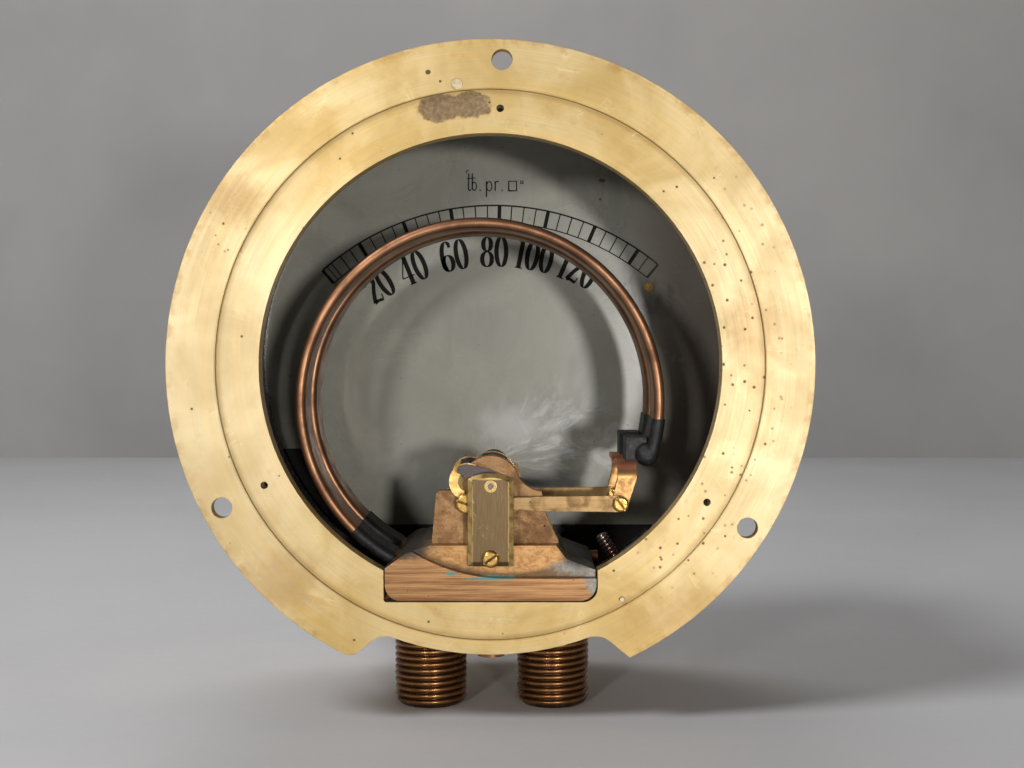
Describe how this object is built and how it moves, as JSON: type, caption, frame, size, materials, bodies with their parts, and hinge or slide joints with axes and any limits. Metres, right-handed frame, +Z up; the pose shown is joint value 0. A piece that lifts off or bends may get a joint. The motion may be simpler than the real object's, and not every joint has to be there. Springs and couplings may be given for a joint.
{
  "type": "duplex pressure gauge",
  "caption": "Round brass duplex pressure gauge for a panel, open at the rear: coaxial Bourdon tubes, lever movements, two pointers and threaded unions below a flange.",
  "frame": {"origin": "centre of the flange's rear face, which is the centre of its bolt circle", "axes": "+Z up, +Y out of the rear opening, the dial faces -Y, the unions point to -Z"},
  "size_m": [0.1778, 0.092, 0.1877],
  "materials": {
    "case_brass": "satin machined brass, old lacquer",
    "movement_brass": "satin rolled brass",
    "cast_bronze": "fine sand-cast bronze, matt",
    "socket_bronze": "milled copper-coloured bronze with file marks",
    "dark_bronze": "dark brown aged bronze",
    "copper": "drawn copper-brown tube",
    "spring_bronze": "bright phosphor bronze strip",
    "black_enamel": "semi-gloss black paint",
    "grey_enamel": "aged grey-white dial paint, glossy",
    "white_enamel": "off-white dial paint",
    "red_enamel": "red paint",
    "pointer_black": "black paint",
    "steel": "worn grey steel",
    "lead_fill": "dull grey-beige filler metal",
    "glass": "clear flat glass",
    "gasket": "black rubber"
  },
  "bodies": {
    "case": {"case_body": "case_brass", "flange_plugs": "lead_fill", "front_bezel": "case_brass", "bezel_screws": "case_brass", "glass": "glass", "glass_gasket": "gasket", "wall_screw": "steel", "socket_block": "socket_bronze", "passage_plug": "dark_bronze", "socket_screws": "dark_bronze", "union_a": "dark_bronze", "union_b": "dark_bronze", "root_ferrules": "black_enamel", "bourdon_tube_a": "copper", "bourdon_tube_b": "copper", "sector_studs": "steel", "hairspring_studs": "movement_brass", "hairspring_a": "spring_bronze", "hairspring_b": "spring_bronze", "rear_bar": "movement_brass", "arbor_bush": "movement_brass", "bar_screw": "movement_brass", "movement_frame_a": "cast_bronze", "movement_frame_b": "cast_bronze", "foot_screws": "movement_brass", "spring_hooks": "movement_brass", "hook_screws": "movement_brass", "leaf_springs": "steel", "front_bridge": "movement_brass", "bridge_pillars": "movement_brass", "bridge_screws": "movement_brass", "backing_plate": "grey_enamel", "scale_plate": "white_enamel", "dial_rivets": "movement_brass", "dial_snap_ring": "steel"},
    "tip_a": {"tip_cap_a": "black_enamel", "tip_clip_a": "movement_brass", "rod_screw_a": "movement_brass"},
    "rod_a": {"rod_a": "movement_brass"},
    "sector_a": {"sector_a": "movement_brass", "sector_pin_a": "steel"},
    "arbor_a": {"arbor_a": "steel", "collet_a": "movement_brass", "pointer_a": "red_enamel"},
    "tip_b": {"tip_cap_b": "black_enamel", "tip_clip_b": "movement_brass", "rod_screw_b": "movement_brass"},
    "rod_b": {"rod_b": "movement_brass"},
    "sector_b": {"sector_b": "movement_brass", "sector_pin_b": "steel"},
    "arbor_b": {"arbor_b": "steel", "collet_b": "movement_brass", "pointer_b": "pointer_black"}
  },
  "joints": [
    {"name": "sector_a_swing", "type": "hinge", "parent": "case", "child": "sector_a", "pos_m": [0, -0.00645, -0.046], "axis": [0, 1, 0], "range_deg": [-27, 0], "stiffness_Nm_per_rad": 0.3},
    {"name": "arbor_a_turn", "type": "hinge", "parent": "case", "child": "arbor_a", "pos_m": [0, -0.00645, -0.0332], "axis": [0, 1, 0], "range_deg": [0, 82], "deforming": ["hairspring_a"]},
    {"name": "tip_a_flex", "type": "hinge", "parent": "case", "child": "tip_a", "pos_m": [0.0093, -0.015, 0.0062], "axis": [0, 1, 0], "range_deg": [0, 4.4], "deforming": ["bourdon_tube_a"]},
    {"name": "rod_a_link", "type": "hinge", "parent": "tip_a", "child": "rod_a", "pos_m": [-0.036, -0.005, -0.0383], "axis": [0, 1, 0], "range_deg": [0, 2.5]},
    {"name": "sector_b_swing", "type": "hinge", "parent": "case", "child": "sector_b", "pos_m": [0, -0.03045, -0.046], "axis": [0, 1, 0], "range_deg": [-27, 0], "stiffness_Nm_per_rad": 0.3},
    {"name": "arbor_b_turn", "type": "hinge", "parent": "case", "child": "arbor_b", "pos_m": [0, -0.03045, -0.0332], "axis": [0, 1, 0], "range_deg": [0, 82], "deforming": ["hairspring_b"]},
    {"name": "tip_b_flex", "type": "hinge", "parent": "case", "child": "tip_b", "pos_m": [0.0093, -0.039, 0.0062], "axis": [0, 1, 0], "range_deg": [0, 4.4], "deforming": ["bourdon_tube_b"]},
    {"name": "rod_b_link", "type": "hinge", "parent": "tip_b", "child": "rod_b", "pos_m": [-0.036, -0.029, -0.0383], "axis": [0, 1, 0], "range_deg": [0, 2.5]}
  ],
  "couplings": [
    {"joint": "arbor_a_turn", "follows": "sector_a_swing", "ratio": -3},
    {"joint": "tip_a_flex", "follows": "sector_a_swing", "ratio": -0.16023},
    {"joint": "rod_a_link", "follows": "sector_a_swing", "ratio": -0.08937},
    {"joint": "arbor_b_turn", "follows": "sector_b_swing", "ratio": -3},
    {"joint": "tip_b_flex", "follows": "sector_b_swing", "ratio": -0.16023},
    {"joint": "rod_b_link", "follows": "sector_b_swing", "ratio": -0.08937}
  ]
}
